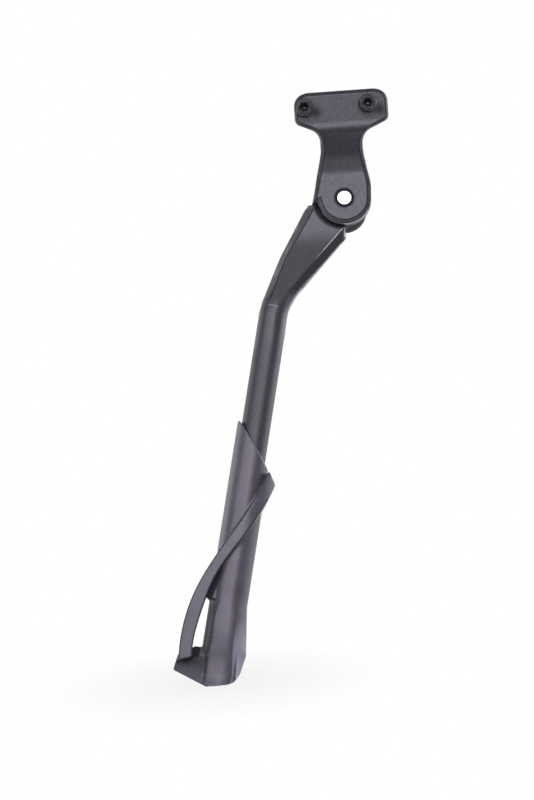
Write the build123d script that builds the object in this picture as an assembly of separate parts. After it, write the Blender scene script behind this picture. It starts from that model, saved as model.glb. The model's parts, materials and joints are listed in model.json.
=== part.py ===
from build123d import *
import os
from math import atan2, cos, degrees, hypot, radians, sin, tan

# Bicycle kickstand for the left rear stay, modelled swung down, with its bolt heads towards -Y.
# The origin is midway between the two frame bolts, on the face that meets the frame lug.
# +X runs to the rear along the bolt line, +Y points at the frame and +Z is up. Millimetres.

# Frame bolts and their lock washers
BOLT_SPACING = 40.0
BOLT_R = 3.0
BOLT_GRIP_R = 2.9
BOLT_THREAD_START = 0.5
BOLT_LENGTH = 20.0
BOLT_HEAD_R = 5.4
BOLT_HEAD_H = 6.0
BOLT_HEAD_EDGE = 0.9
HEX_ACROSS = 5.0
HEX_DEPTH = 3.6
BOLT_CLEARANCE = 0.25
WASHER_R = 5.9
WASHER_T = 1.6
WASHER_CLEARANCE = 0.15
WASHER_SPLIT = 1.0
WASHER_SPLIT_TURN = 30.0

# Bracket plate, which lies against the frame lug
PLATE_T = 8.0
PLATE_TOP = 9.1
PLATE_FRONT = 26.3
PLATE_REAR = 32.9
PLATE_FRONT_DROP = 9.9
PLATE_REAR_DROP = 10.6
PLATE_CORNER = (8.0, 2.4)
PLATE_TOP_R = 8.0
PLATE_LOW_R = 4.5
SHOULDER_SLOPE = 23.5
SHOULDER_R = 9.0

# Bracket neck, cranked back from the plate and then splayed out to the pivot eye
NECK_FRONT = 11.0
NECK_REAR = 15.8
NECK_T = 8.0
CREST_DROP = 14.0
CREST_R = 8.0
CREST_BACK_R = 2.5
NECK_FOOT_DROP = 36.0
NECK_FOOT_R = 16.0
FLANK_HEIGHT = 30.0
FLANK_BULGE = 9.0
FLANK_SWELL = 0.6
FLANK_R = 24.0
SPLAY = 17.0

# Pivot eye. PIVOT_INSET is how far its front face lies behind the frame face, at the pin
# Faces tilted less than RIM_TILT from straight outwards have the bevelled rim
PIVOT_X = 1.8
PIVOT_INSET = 0.0
PIVOT_DROP = 57.9
EYE_R = 17.2
EYE_T = 8.0
EDGE_BEVEL = 1.7
RIM_TILT = 60.0
STOP_R = 21.1
STOP_ANGLE = 184.8
STOP_GAP = 0.15

# Pivot pin, its bush and its washers
PIN_R = 4.7
PIN_SINK = 0.3
PIN_HEAD_R = 7.0
PIN_HEAD_T = 2.0
PIN_HEAD_SINK = 0.4
PIN_FIT = 0.02
END_PLAY = 0.05
COUNTERSINK_R = 6.3
COUNTERSINK_DEPTH = 3.0
THRUST_R = 14.0
THRUST_T = 1.0
PIN_WASHER_R = 7.4
PIN_WASHER_T = 0.8
COUNTERBORE_CLEARANCE = 0.5
BUSH_WALL = 1.2
BUSH_RUNNING = 0.05

# Leg. Places are (rearwards, up) from the pin along the splayed plane, widths are across the shank
DISC_R = 15.6
CHIN_R = 14.0
CHIN_DROP = 5.0
SHANK_HALF_T = 8.0
SHANK_SIDE_R = 2.6
SIDE_TURN = 12.0
STOP_RISE = 1.7
SHOULDER_GAP = 1.8
SHANK_END_X = -0.6
TOP_PLACE = (-11.6, -12.3)
TOP_WIDTH = 34.3
TOP_LEAN = 38.0
TOP_FRONT_BEVEL = 6.4
TOP_REAR_BEVEL = 5.2
TOP_OVERLAP = 14.0
MIDDLE_PLACE = (-33.6, -41.6)
MIDDLE_WIDTH = 25.7
MIDDLE_LEAN = 36.2
MIDDLE_FRONT_BEVEL = 4.8
MIDDLE_REAR_BEVEL = 5.7
LOW_PLACE = (-42.3, -54.7)
LOW_WIDTH = 20.9
LOW_LEAN = 30.0
LOW_FRONT_BEVEL = 4.9
LOW_REAR_BEVEL = 5.9
KNEE_PLACE = (-48.4, -65.3)
KNEE_LEAN = 20.0
LEG_PLACE = (-50.3, -70.8)
LEG_LEAN = 12.65
LEG_R = 9.1
LEG_BLEND = 6.0
LEG_STEP = 0.05
LEG_LENGTH = 190.0
LEG_TIP_EDGE = 1.2
FACE_END = 3.0
FACET_TURN = 28.0
CLAMP_FLAT = 0.8
CLAMP_LENGTH = 104.0

# Over-centre spring on the rear side, hooked on two posts
FOLD_ANGLE = 100.0
LEG_POST_REACH = 46.0
LEG_POST_ANGLE = 229.0
BRACKET_POST_REACH = 23.0
POST_R = 3.4
POST_NECK_R = 2.5
POST_CAP_R = 3.6
POST_CAP_T = 1.5
POST_DEPTH = 5.0
WIRE_R = 0.75
BEND_R = 0.9
COIL_R = 3.2
COIL_STAND_OFF = 8.0
SPRING_GAP = 0.4
HOOK_CLEARANCE = 0.2

# Foot: a moulded sleeve on the leg's end. Places are (rearwards, height)
# Heights run down from the sleeve's top
LEG_INSERTION = 118.0
SLEEVE_R = 11.8
SLEEVE_FIT = 0.08
SLEEVE_LIP = 1.5
SLEEVE_SLANT = 51.8
BORE_END = 140.0

# Strap over the sleeve's outer side: its upper and lower edges, its bow away from the sleeve
# and the web that joins it to the sleeve above the window
STRAP_UPPER = [(12.7, 29.6), (1.7, 60.2), (-13.3, 90.5), (-21.8, 112.7), (-25.3, 139.9), (-24.3, 153.6)]
STRAP_LOWER = [
    (17.6, 36.4),
    (11.8, 55.0),
    (4.2, 72.1),
    (-9.3, 98.3),
    (-15.0, 121.8),
    (-17.0, 145.2),
    (-16.4, 150.7),
]
STRAP_SIDE_REACH = 17.6
STRAP_FRONT_REACH = 14.6
STRAP_SINK = 1.0
STRAP_TOE_X = -27.0
STRAP_TOE_REACH = 9.6
STRAP_TOE_BACK = 4.4
WEB = [(-9.0, 98.0), (-13.4, 110.6), (-11.2, 112.4), (-9.0, 112.4)]
WEB_REACH = 6.0

# Flared base, rocker sole and toe. A face is the flat front's (front end, rear end)
# BASE_TURNS are where the base's ridges run out on the round sleeve, in degrees
BASE_TURNS = [180, 125, 60, 40]
FLARE_TOP = 114.0
FLARE_HEIGHT = 144.0
FLARE_REAR = 15.9
FLARE_FRONT = 10.8
FLARE_DEPTH = 12.8
FLARE_FACE = (-8.4, 7.2)
BASE_CORNER = 2.8
WELT_HEIGHT = 159.0
WELT_REAR = 13.2
WELT_FRONT = 9.0
WELT_FACE = (-7.0, 9.2)
SOLE_HEIGHT = 174.0
SOLE_REAR = 10.4
SOLE_DEPTH = 15.6
SOLE_FACE = (-5.0, 6.8)
HEEL_CORNER = (13.4, 161.5)
HEEL_SOLE = (8.2, 165.2)
SOLE_LENGTH = 13.6
TOE_TIP = (-27.6, 162.2)
TOE_BACK = (-25.7, 149.5)
TOE_TOP = (-16.0, 142.6)
TOE_TIP_DEPTH = 4.6
TOE_TIP_R = 2.0
TOE_RIDGE = 1.0
TOE_SLOPE = 6.0

# Set screw that locks the foot, in an insert on the rear side
SCREW_HEIGHT = 78.0
SCREW_R = 3.0
SCREW_LENGTH = 8.0
SCREW_HEX = 3.0
SCREW_HEX_DEPTH = 3.0
SCREW_TIP_GAP = 0.05
SCREW_FIT = 0.02
SCREW_CLEARANCE = 0.3
INSERT_R = 4.4
INSERT_T = 6.0
BOSS_R = 7.0
BOSS_REACH = 17.0

# Longer than any cut through the stand
REACH = LEG_LENGTH

SPLAYED = Plane(
    origin=(PIVOT_X, PIVOT_INSET, -PIVOT_DROP),
    x_dir=(1, 0, 0),
    z_dir=(0, -cos(radians(SPLAY)), sin(radians(SPLAY))),
)
DISC_FRONT = -(EYE_T + THRUST_T + END_PLAY)
DISC_BACK = DISC_FRONT - SHANK_HALF_T
WASHER_SEAT = DISC_BACK + PIN_HEAD_SINK + PIN_HEAD_T
COUNTERBORE_FLOOR = WASHER_SEAT + PIN_WASHER_T + END_PLAY
SPRING_LEVEL = DISC_BACK - SPRING_GAP - COIL_R - WIRE_R


def polar(reach, angle):
    return (reach * cos(radians(angle)), reach * sin(radians(angle)))


def nearest(shape, *points):
    """The shape's corners that lie at these points."""
    return [shape.vertices().sort_by_distance(Vector(*point))[0] for point in points]


def rounded(outline, radius, *points):
    """The outline with the corners at these points rounded."""
    return fillet(nearest(outline, *points), radius)


def crossing(start, slope, other, other_slope):
    """Where two lines meet, each given by a point and its direction in degrees."""
    ax, ay = polar(1, slope)
    bx, by = polar(1, other_slope)
    dx, dy = other[0] - start[0], other[1] - start[1]
    step = (dx * by - dy * bx) / (ax * by - ay * bx)
    return (start[0] + step * ax, start[1] + step * ay)


def splayed(solid):
    """Moves a solid from the pivot's splayed plane to its place on the stand."""
    return SPLAYED.location * solid


def rod(radius, low, high, place=(0, 0)):
    """A round rod along the local Z axis between two levels."""
    return Pos(*place, low) * Cylinder(radius, high - low, align=(Align.CENTER, Align.CENTER, Align.MIN))


def leaning(place, lean):
    """A plane square to a line that leans forwards: Z runs down the line and Y outwards."""
    x, y = polar(1, -lean)
    return Plane(origin=(*place, DISC_FRONT), x_dir=(x, y, 0), z_dir=(y, -x, 0))


def on_leg_end(solid):
    """Moves a solid of the foot, Z down from the sleeve's top corner, to its place on the leg."""
    return splayed(leaning(LEG_PLACE, LEG_LEAN).location * Pos(0, 0, LEG_LENGTH - LEG_INSERTION) * solid)


def hex_socket(across, depth, level):
    """A hexagon prism that cuts a socket down from a level."""
    return Pos(0, 0, level - depth) * extrude(RegularPolygon(across / 2, 6, major_radius=False), depth)


LEG_POST = polar(LEG_POST_REACH, LEG_POST_ANGLE)
BRACKET_POST = polar(BRACKET_POST_REACH, LEG_POST_ANGLE + FOLD_ANGLE / 2 - 180)


# Mounting bracket: the front outline of one forging, cut to its cranked side profile
def neck_profile():
    eye_slope = 90 - SPLAY
    eye_front = (PIVOT_INSET, -PIVOT_DROP)
    foot = crossing(eye_front, eye_slope, (0, -NECK_FOOT_DROP), 0)
    crest = (-PLATE_T, -CREST_DROP)
    neck_slope = degrees(atan2(crest[1] - foot[1], crest[0] - foot[0]))
    top = PLATE_TOP + PLATE_T
    end = crossing(eye_front, eye_slope, (0, -PIVOT_DROP - EYE_R - PLATE_T), -SPLAY)
    eye_back = (eye_front[0] + EYE_T * cos(radians(SPLAY)), eye_front[1] - EYE_T * sin(radians(SPLAY)))
    back_x, back_z = polar(NECK_T, neck_slope - 90)
    neck_back = (crest[0] + back_x, crest[1] + back_z)
    crest_back = crossing(neck_back, neck_slope, (0, 0), 90)
    foot_back = crossing(neck_back, neck_slope, eye_back, eye_slope)
    end_back = (end[0] + EYE_T * cos(radians(SPLAY)), end[1] - EYE_T * sin(radians(SPLAY)))
    points = [(-PLATE_T, top), crest, foot, end, end_back, foot_back, crest_back, (0, top)]
    profile = Polygon(*points, align=None)
    profile = rounded(profile, CREST_R, crest)
    profile = rounded(profile, CREST_BACK_R, crest_back)
    profile = rounded(profile, NECK_FOOT_R, foot)
    return rounded(profile, NECK_FOOT_R + EYE_T, foot_back)


def plate_outline():
    slope = tan(radians(SHOULDER_SLOPE))
    front_low = (-PLATE_FRONT, -PLATE_FRONT_DROP)
    rear_low = (PLATE_REAR, -PLATE_REAR_DROP)
    front_neck = (-NECK_FRONT, -PLATE_FRONT_DROP - slope * (PLATE_FRONT - NECK_FRONT))
    rear_neck = (NECK_REAR, -PLATE_REAR_DROP - slope * (PLATE_REAR - NECK_REAR))
    cut_x, cut_z = PLATE_CORNER
    corners = [
        (-PLATE_FRONT, PLATE_TOP - cut_z),
        (-PLATE_FRONT + cut_x, PLATE_TOP),
        (PLATE_REAR - cut_x, PLATE_TOP),
        (PLATE_REAR, PLATE_TOP - cut_z),
    ]
    front_end = (-NECK_FRONT, -NECK_FOOT_DROP)
    rear_end = (NECK_REAR, -NECK_FOOT_DROP)
    outline = Polygon(*corners, rear_low, rear_neck, rear_end, front_end, front_neck, front_low, align=None)
    outline = rounded(outline, PLATE_TOP_R, *corners)
    outline = rounded(outline, PLATE_LOW_R, front_low, rear_low)
    return rounded(outline, SHOULDER_R, front_neck, rear_neck)


def eye_outline():
    front = -NECK_FRONT - PIVOT_X
    rear = NECK_REAR - PIVOT_X
    bulge = (EYE_R + FLANK_SWELL, FLANK_BULGE)
    flanks = Polygon(
        (front, PIVOT_DROP),
        (rear, PIVOT_DROP),
        (rear, FLANK_HEIGHT),
        bulge,
        (EYE_R, 0),
        (0, 0),
        polar(STOP_R, STOP_ANGLE),
        (front, FLANK_HEIGHT),
        align=None,
    )
    return rounded(flanks, FLANK_R, bulge) + Circle(EYE_R)


def mounting_bracket():
    sides = extrude(Plane.YZ * neck_profile(), REACH, both=True)
    plate = extrude(Plane.XZ * plate_outline(), REACH, both=True)
    eye = splayed(extrude(eye_outline(), REACH, both=True))
    body = sides & (plate + eye)
    outward = [face for face in body.faces() if face.normal_at().Y < -cos(radians(RIM_TILT))]
    shared = [edge for face in outward for edge in face.edges()]
    rim = [edge for edge in shared if shared.count(edge) == 1]
    body = chamfer(rim, EDGE_BEVEL)
    for x in (-BOLT_SPACING / 2, BOLT_SPACING / 2):
        hole = Plane.XZ.location * rod(BOLT_R + BOLT_CLEARANCE, -PLATE_T, 2 * PLATE_T, (x, 0))
        body -= hole
    body -= splayed(rod(PIN_R + PIN_FIT, -2 * EYE_T, EYE_T))
    sink = Pos(0, 0, -COUNTERSINK_DEPTH / 2) * Cone(PIN_R, COUNTERSINK_R, COUNTERSINK_DEPTH)
    body -= splayed(sink)
    body -= splayed(rod(POST_R, -REACH, -EYE_T + POST_DEPTH, BRACKET_POST))
    return body


# Frame bolt: socket cap screw, its head on the lock washer and its end standing out of the frame face
def frame_bolt(x):
    seat = PLATE_T + WASHER_T
    head = rod(BOLT_HEAD_R, seat, seat + BOLT_HEAD_H)
    head = chamfer(head.edges().group_by(Axis.Z)[-1], BOLT_HEAD_EDGE)
    thread = rod(BOLT_R, seat - BOLT_LENGTH, -BOLT_THREAD_START)
    bolt = head + rod(BOLT_GRIP_R, -BOLT_THREAD_START, seat) + thread
    bolt -= hex_socket(HEX_ACROSS, HEX_DEPTH, seat + BOLT_HEAD_H)
    return Plane.XZ.location * Pos(x, 0, 0) * bolt


def lock_washer(x):
    ring = rod(WASHER_R, PLATE_T, PLATE_T + WASHER_T) - rod(BOLT_R + WASHER_CLEARANCE, 0, 2 * PLATE_T)
    slit = Box(WASHER_SPLIT, WASHER_R, 4 * WASHER_T, align=(Align.CENTER, Align.MIN, Align.CENTER))
    ring -= Pos(0, 0, PLATE_T + WASHER_T / 2) * Rot(0, WASHER_SPLIT_TURN, 0) * slit
    return Plane.XZ.location * Pos(x, 0, 0) * ring


# Pivot pin: fixed in the eye at its front end, with a flat head sunk in the leg's disc at the rear
def pivot_pin():
    head_back = WASHER_SEAT - PIN_HEAD_T
    head = rod(PIN_HEAD_R, head_back, WASHER_SEAT)
    return splayed(head + rod(PIN_R, head_back, -PIN_SINK))


def thrust_washer():
    return splayed(rod(THRUST_R, -EYE_T - THRUST_T, -EYE_T) - rod(PIN_R + WASHER_CLEARANCE, DISC_BACK, 0))


def pin_washer():
    ring = rod(PIN_WASHER_R, WASHER_SEAT, WASHER_SEAT + PIN_WASHER_T)
    return splayed(ring - rod(PIN_R + WASHER_CLEARANCE, DISC_BACK, 0))


def pivot_bush():
    sleeve = rod(PIN_R + BUSH_RUNNING + BUSH_WALL, COUNTERBORE_FLOOR, DISC_FRONT)
    return splayed(sleeve - rod(PIN_R + BUSH_RUNNING, DISC_BACK, 0))


# Leg: one forging. The shank's six-sided sections turn into the round leg at the knee
def shank_section(place, lean, width, front_bevel, rear_bevel):
    half = width / 2
    corners = [
        (-half, 0),
        (-half + front_bevel, SHANK_HALF_T),
        (half - rear_bevel, SHANK_HALF_T),
        (half, 0),
        (half - rear_bevel, -SHANK_HALF_T),
        (-half + front_bevel, -SHANK_HALF_T),
    ]
    outline = rounded(Polygon(*corners, align=None), SHANK_SIDE_R, (-half, 0), (half, 0))
    return leaning(place, lean) * outline


def ring_section(radius, turns):
    """A round face whose edge is split at these angles, to loft from a section with as many sides."""
    arcs = []
    for start, end in zip(turns, [*turns[1:], turns[0] - 360]):
        arcs.append(ThreePointArc(polar(radius, start), polar(radius, (start + end) / 2), polar(radius, end)))
    return Face(Wire(arcs))


def round_section(place, lean):
    half = [180 + SIDE_TURN, 180 - SIDE_TURN, 90 + FACET_TURN, 90 - FACET_TURN]
    turns = half + [turn - 180 for turn in half]
    return leaning(place, lean) * ring_section(LEG_R - LEG_STEP, turns)


def down(place, lean, step):
    """A place moved down a line that leans forwards."""
    return (place[0] - step * sin(radians(lean)), place[1] - step * cos(radians(lean)))


def shank():
    top_to_middle = hypot(TOP_PLACE[0] - MIDDLE_PLACE[0], TOP_PLACE[1] - MIDDLE_PLACE[1])
    spread = (TOP_WIDTH - MIDDLE_WIDTH) / top_to_middle
    above = down(TOP_PLACE, TOP_LEAN, -TOP_OVERLAP)
    above_width = TOP_WIDTH + spread * TOP_OVERLAP
    sections = [
        shank_section(above, TOP_LEAN, above_width, TOP_FRONT_BEVEL, TOP_REAR_BEVEL),
        shank_section(TOP_PLACE, TOP_LEAN, TOP_WIDTH, TOP_FRONT_BEVEL, TOP_REAR_BEVEL),
        shank_section(MIDDLE_PLACE, MIDDLE_LEAN, MIDDLE_WIDTH, MIDDLE_FRONT_BEVEL, MIDDLE_REAR_BEVEL),
        shank_section(LOW_PLACE, LOW_LEAN, LOW_WIDTH, LOW_FRONT_BEVEL, LOW_REAR_BEVEL),
        round_section(KNEE_PLACE, KNEE_LEAN),
        round_section(LEG_PLACE, LEG_LEAN),
        round_section(down(LEG_PLACE, LEG_LEAN, LEG_BLEND), LEG_LEAN),
    ]
    return loft(sections, ruled=True)


def leg():
    body = shank()
    stop = Box(REACH, REACH, REACH, align=(Align.MIN, Align.MAX, Align.MIN))
    behind = Box(REACH, REACH, REACH, align=(Align.MIN, Align.MAX, Align.MAX))
    body -= Rot(0, 0, STOP_ANGLE) * Pos(-POST_R, STOP_GAP, DISC_FRONT) * stop
    body -= Rot(0, 0, STOP_ANGLE) * Pos(-POST_R, STOP_GAP - STOP_RISE, DISC_FRONT) * behind
    body -= Pos(SHANK_END_X, 0, 0) * Box(REACH, REACH, REACH, align=(Align.MIN, Align.CENTER, Align.CENTER))
    body -= rod(EYE_R + SHOULDER_GAP, DISC_FRONT, REACH)
    body += rod(DISC_R, DISC_BACK, DISC_FRONT) + rod(CHIN_R, DISC_BACK, DISC_FRONT, (0, -CHIN_DROP))
    body -= rod(PIN_R + BUSH_RUNNING + BUSH_WALL, DISC_BACK, DISC_FRONT)
    body -= rod(PIN_WASHER_R + COUNTERBORE_CLEARANCE, DISC_BACK, COUNTERBORE_FLOOR)
    body -= rod(POST_R, DISC_BACK, DISC_BACK + POST_DEPTH, LEG_POST)
    end = leaning(LEG_PLACE, LEG_LEAN)
    tube = rod(LEG_R, 0, LEG_LENGTH)
    tube = chamfer(tube.edges().group_by(Axis.Z)[-1], LEG_TIP_EDGE)
    flat = Box(2 * LEG_R, LEG_R, LEG_LENGTH, align=(Align.CENTER, Align.MAX, Align.MIN))
    tube -= Pos(0, CLAMP_FLAT - LEG_R, LEG_LENGTH - CLAMP_LENGTH) * flat
    body += end.location * tube
    face = Box(REACH, REACH, REACH, align=(Align.CENTER, Align.MIN, Align.MAX))
    body -= end.location * Pos(0, SHANK_HALF_T, FACE_END) * face
    return splayed(body)


# Spring posts: pressed into the bracket and the leg, with a neck for the hook and a cap
def spring_post(place, root):
    shoulder = SPRING_LEVEL + WIRE_R + HOOK_CLEARANCE
    cap = SPRING_LEVEL - WIRE_R - HOOK_CLEARANCE
    post = rod(POST_R, shoulder, root, place)
    post += rod(POST_NECK_R, cap, shoulder, place)
    post += rod(POST_CAP_R, cap - POST_CAP_T, cap, place)
    return splayed(post)


def coil_body(low, high):
    """The wound part of the spring as the plain tube that its close coils fill."""
    return rod(COIL_R + WIRE_R, low, high) - rod(COIL_R - WIRE_R, low, high)


def return_spring():
    span = hypot(LEG_POST[0] - BRACKET_POST[0], LEG_POST[1] - BRACKET_POST[1])
    turn = degrees(atan2(LEG_POST[1] - BRACKET_POST[1], LEG_POST[0] - BRACKET_POST[0]))
    eye_r = POST_NECK_R + HOOK_CLEARANCE + WIRE_R
    spring = Rot(0, 90, 0) * coil_body(COIL_STAND_OFF, span - COIL_STAND_OFF)
    for x, way in ((0, 1), (span, -1)):
        eye = rod(eye_r + WIRE_R, -WIRE_R, WIRE_R) - rod(eye_r - WIRE_R, -WIRE_R, WIRE_R)
        spring += Pos(x, 0, 0) * eye
        bend = COIL_STAND_OFF + 2 * WIRE_R
        spring += Pos(x, 0, 0) * Rot(0, 90 * way, 0) * rod(WIRE_R, eye_r, bend)
        spring += Pos(x + way * bend, 0, 0) * rod(BEND_R, -COIL_R, COIL_R)
    return splayed(Pos(*BRACKET_POST, SPRING_LEVEL) * Rot(0, 0, turn) * spring)


# Foot: moulded sleeve with a slanted top, a strap from its rear side to the toe, and a flared base
def side_view(outline, low, high):
    """A solid with this outline in the leg's X and Z, between two depths."""
    face = Plane(origin=(0, high, 0), x_dir=(1, 0, 0), z_dir=(0, -1, 0)) * outline
    return extrude(face, high - low, dir=(0, -1, 0))


def sleeve():
    lip = SLEEVE_LIP - SLEEVE_R
    far = 2 * SLEEVE_R
    mouth = Polygon((lip, 0), (far, (far - lip) * tan(radians(SLEEVE_SLANT))), (far, 0), align=None)
    return rod(SLEEVE_R, 0, FLARE_HEIGHT) - side_view(mouth, -REACH, REACH)


def strap():
    edges = Spline(*STRAP_UPPER) + Spline(*STRAP_LOWER)
    edges += [Line(STRAP_UPPER[0], STRAP_LOWER[0]), Line(STRAP_UPPER[-1], STRAP_LOWER[-1])]
    band = side_view(make_face(edges), 0, REACH)
    inner = SLEEVE_R - STRAP_SINK
    crown = (0, STRAP_FRONT_REACH)
    toe = (STRAP_TOE_X, STRAP_TOE_REACH)
    bow = Line((inner, 0), (STRAP_SIDE_REACH, 0))
    bow += EllipticalCenterArc((0, 0), STRAP_SIDE_REACH, STRAP_FRONT_REACH, 0, arc_size=90)
    bow += TangentArc(crown, toe, tangent=(-1, 0))
    bow += Line(toe, (STRAP_TOE_X, STRAP_TOE_BACK))
    bow += TangentArc((0, inner), (STRAP_TOE_X, STRAP_TOE_BACK), tangent=(-1, 0))
    bow += CenterArc((0, 0), inner, 0, 90)
    web = side_view(Polygon(*WEB, align=None), 0, WEB_REACH)
    return web + (band & extrude(make_face(bow), FLARE_HEIGHT + REACH, dir=(0, 0, 1)))


def base_section(height, front, face, rear, depth):
    """The base's outline at a height: flat in front, with a bevelled corner and a side facet to the rear."""
    half = [(face[0], depth), (face[1], depth), (face[1] + BASE_CORNER, depth - BASE_CORNER)]
    other = [(x, -y) for x, y in reversed(half)]
    return Pos(0, 0, height) * Polygon((-front, 0), *half, (rear, 0), *other, align=None)


def base():
    turns = BASE_TURNS + [0] + [-turn for turn in reversed(BASE_TURNS[1:])]
    sections = [
        Pos(0, 0, FLARE_TOP) * ring_section(SLEEVE_R - SLEEVE_FIT, turns),
        base_section(FLARE_HEIGHT, FLARE_FRONT, FLARE_FACE, FLARE_REAR, FLARE_DEPTH),
        base_section(WELT_HEIGHT, WELT_FRONT, WELT_FACE, WELT_REAR, FLARE_DEPTH),
        base_section(SOLE_HEIGHT, WELT_FRONT, SOLE_FACE, SOLE_REAR, SOLE_DEPTH),
    ]
    return loft(sections, ruled=True)


def toe():
    rear = (0, TOE_TOP[1])
    side = Polygon(rear, TOE_TOP, TOE_BACK, TOE_TIP, (TOE_TIP[0], SOLE_HEIGHT), (0, SOLE_HEIGHT), align=None)
    tip = (TOE_TIP[0], TOE_TIP_DEPTH)
    plan = Polygon((0, FLARE_DEPTH), tip, (tip[0], -tip[1]), (0, -FLARE_DEPTH), align=None)
    plan = rounded(plan, TOE_TIP_R, tip, (tip[0], -tip[1]))
    wedge = side_view(side, -REACH, REACH) & extrude(plan, REACH + FLARE_HEIGHT, dir=(0, 0, 1))
    ridge = (TOE_RIDGE, TOE_TOP[1])
    edge = (FLARE_DEPTH, TOE_TOP[1] + TOE_SLOPE)
    slope = Polygon(ridge, edge, (FLARE_DEPTH, 0), (TOE_RIDGE, 0), align=None)
    return wedge - extrude(Plane.YZ * slope, REACH, both=True)


def ground():
    """What lies under the sole: level in the middle, rising to the heel and to the toe."""
    drop_x, drop_z = polar(SOLE_LENGTH, 180 - LEG_LEAN)
    sole_end = (HEEL_SOLE[0] + drop_x, HEEL_SOLE[1] + drop_z)
    heel_slope = degrees(atan2(HEEL_CORNER[1] - HEEL_SOLE[1], HEEL_CORNER[0] - HEEL_SOLE[0]))
    toe_slope = degrees(atan2(TOE_TIP[1] - sole_end[1], TOE_TIP[0] - sole_end[0]))
    heel = crossing(HEEL_SOLE, heel_slope, (REACH, 0), 90)
    far = crossing(sole_end, toe_slope, (-REACH, 0), 90)
    under = Polygon(heel, HEEL_SOLE, sole_end, far, (-REACH, 3 * REACH), (REACH, 3 * REACH), align=None)
    lean = radians(LEG_LEAN)
    splay = radians(SPLAY)
    level = (-sin(splay) * sin(lean), -cos(splay), -sin(splay) * cos(lean))
    front = Plane(origin=(0, SOLE_DEPTH, 0), x_dir=(1, 0, 0), z_dir=(0, -1, 0)) * under
    return extrude(front, REACH, dir=level, both=True)


def across_leg(solid):
    """Turns a solid made along Z so that it points to the rear side of the leg at the screw."""
    return Pos(0, 0, SCREW_HEIGHT) * Rot(90, 0, 0) * solid


def foot():
    body = sleeve() + strap() + base() + toe() - ground()
    body += across_leg(rod(BOSS_R, LEG_R, BOSS_REACH))
    body -= rod(LEG_R + SLEEVE_FIT, 0, BORE_END)
    body -= across_leg(rod(INSERT_R, BOSS_REACH - INSERT_T, BOSS_REACH))
    body -= across_leg(rod(SCREW_R + SCREW_CLEARANCE, 0, BOSS_REACH))
    return on_leg_end(body)


def foot_screw_insert():
    ring = rod(INSERT_R, BOSS_REACH - INSERT_T, BOSS_REACH) - rod(SCREW_R + SCREW_FIT, 0, BOSS_REACH)
    return on_leg_end(across_leg(ring))


def foot_set_screw():
    tip = LEG_R - CLAMP_FLAT + SCREW_TIP_GAP
    end = tip + SCREW_LENGTH
    return on_leg_end(across_leg(rod(SCREW_R, tip, end) - hex_socket(SCREW_HEX, SCREW_HEX_DEPTH, end)))


PIECES = {
    "mounting_bracket": mounting_bracket,
    "front_bolt": lambda: frame_bolt(-BOLT_SPACING / 2),
    "rear_bolt": lambda: frame_bolt(BOLT_SPACING / 2),
    "front_lock_washer": lambda: lock_washer(-BOLT_SPACING / 2),
    "rear_lock_washer": lambda: lock_washer(BOLT_SPACING / 2),
    "pivot_pin": pivot_pin,
    "thrust_washer": thrust_washer,
    "pin_washer": pin_washer,
    "pivot_bush": pivot_bush,
    "leg": leg,
    "bracket_spring_post": lambda: spring_post(BRACKET_POST, -EYE_T + POST_DEPTH),
    "leg_spring_post": lambda: spring_post(LEG_POST, DISC_BACK + POST_DEPTH),
    "return_spring": return_spring,
    "foot": foot,
    "foot_screw_insert": foot_screw_insert,
    "foot_set_screw": foot_set_screw,
}

os.makedirs("parts", exist_ok=True)
for name, make in PIECES.items():
    export_step(make(), f"parts/{name}.step")
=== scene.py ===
import json
from math import cos, pi, radians, sin

import bmesh
import bpy
from mathutils import Matrix, Vector
from mathutils.geometry import intersect_point_line
from mathutils.kdtree import KDTree


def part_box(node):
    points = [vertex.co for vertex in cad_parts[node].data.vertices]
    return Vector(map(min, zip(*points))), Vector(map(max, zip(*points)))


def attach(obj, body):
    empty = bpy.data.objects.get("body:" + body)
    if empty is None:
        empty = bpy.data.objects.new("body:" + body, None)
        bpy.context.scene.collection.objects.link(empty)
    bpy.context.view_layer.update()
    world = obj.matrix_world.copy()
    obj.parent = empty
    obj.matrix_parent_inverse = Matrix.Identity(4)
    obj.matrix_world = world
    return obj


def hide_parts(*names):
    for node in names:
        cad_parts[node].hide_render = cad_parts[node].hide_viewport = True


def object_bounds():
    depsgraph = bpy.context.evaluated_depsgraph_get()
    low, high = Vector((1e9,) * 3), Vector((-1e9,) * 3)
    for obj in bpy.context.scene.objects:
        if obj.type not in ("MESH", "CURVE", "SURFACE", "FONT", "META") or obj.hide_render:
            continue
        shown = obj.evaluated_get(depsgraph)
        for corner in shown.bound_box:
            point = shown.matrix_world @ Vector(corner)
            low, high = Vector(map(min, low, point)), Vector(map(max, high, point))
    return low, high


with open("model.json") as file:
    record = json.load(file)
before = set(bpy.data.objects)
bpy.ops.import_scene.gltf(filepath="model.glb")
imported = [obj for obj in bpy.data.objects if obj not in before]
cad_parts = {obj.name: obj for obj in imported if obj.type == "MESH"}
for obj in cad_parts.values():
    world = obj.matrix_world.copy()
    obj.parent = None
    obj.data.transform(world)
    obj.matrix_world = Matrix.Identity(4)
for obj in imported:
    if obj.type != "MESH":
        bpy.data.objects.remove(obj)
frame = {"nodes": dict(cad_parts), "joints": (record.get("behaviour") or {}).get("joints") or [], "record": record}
cad_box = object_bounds()

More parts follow.
